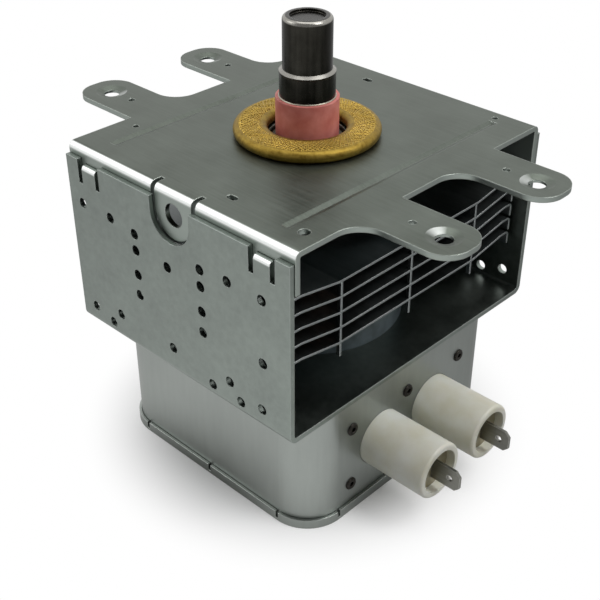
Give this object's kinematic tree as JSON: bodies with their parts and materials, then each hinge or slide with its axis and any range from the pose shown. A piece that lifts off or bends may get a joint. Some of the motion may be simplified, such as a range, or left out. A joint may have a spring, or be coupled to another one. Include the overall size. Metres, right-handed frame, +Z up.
{
  "type": "microwave magnetron",
  "caption": "Microwave-oven magnetron: finned vacuum tube between ring magnets in a folded steel yoke, with antenna, mesh gasket, mounting ears and a filter box with blade terminals.",
  "frame": {"origin": "antenna axis at the top face of the mounting plate, in line with the centre of the ear-hole pattern", "axes": "+Z up along the antenna, +X toward the terminal blades and along the ears, -Y is the panel with the tongue"},
  "size_m": [0.132, 0.0946, 0.1227],
  "materials": {
    "galvanised_steel": "zinc-coated sheet, satin",
    "cap_steel": "drawn steel, dark and streaky",
    "seal_steel": "nickel-plated steel",
    "brass_mesh": "knitted wire",
    "pink_alumina": "matt fired ceramic",
    "ferrite": "ground ferrite",
    "copper": "bare copper",
    "fin_aluminium": "rolled sheet",
    "refractory_wire": "tungsten and molybdenum",
    "white_resin": "moulded resin",
    "potting_resin": "poured resin",
    "dark_resin": "moulded resin",
    "capacitor_body": "fired ceramic",
    "tinned_brass": "tin-plated",
    "rivet_steel": "dull steel"
  },
  "bodies": {
    "root": {"top_plate": "galvanised_steel", "yoke": "galvanised_steel", "rf_gasket": "brass_mesh", "antenna_cap": "cap_steel", "antenna_cup": "cap_steel", "exhaust_tube": "copper", "antenna_rod": "copper", "output_ceramic": "pink_alumina", "output_sleeve": "seal_steel", "upper_magnet": "ferrite", "lower_magnet": "ferrite", "upper_pole": "seal_steel", "lower_pole": "seal_steel", "anode_cylinder": "copper", "anode_vanes": "copper", "strap_rings": "copper", "filament": "refractory_wire", "upper_hat": "refractory_wire", "lower_hat": "refractory_wire", "centre_lead": "refractory_wire", "side_lead": "refractory_wire", "stem_sleeve": "seal_steel", "stem_ceramic": "pink_alumina", "stem_tabs": "tinned_brass", "cooling_fin_1": "fin_aluminium", "cooling_fin_2": "fin_aluminium", "cooling_fin_3": "fin_aluminium", "cooling_fin_4": "fin_aluminium", "cooling_fin_5": "fin_aluminium", "filter_can": "galvanised_steel", "filter_lid": "galvanised_steel", "choke_coil_1": "copper", "choke_coil_2": "copper", "choke_core_1": "ferrite", "choke_core_2": "ferrite", "capacitor_flange": "galvanised_steel", "capacitor_rivets": "rivet_steel", "capacitor_ceramic": "capacitor_body", "capacitor_case": "dark_resin", "insulator_1": "white_resin", "insulator_2": "white_resin", "potting_1": "potting_resin", "potting_2": "potting_resin", "feed_rod_1": "copper", "feed_rod_2": "copper", "terminal_blade_1": "tinned_brass", "terminal_blade_2": "tinned_brass"}
  },
  "joints": []
}
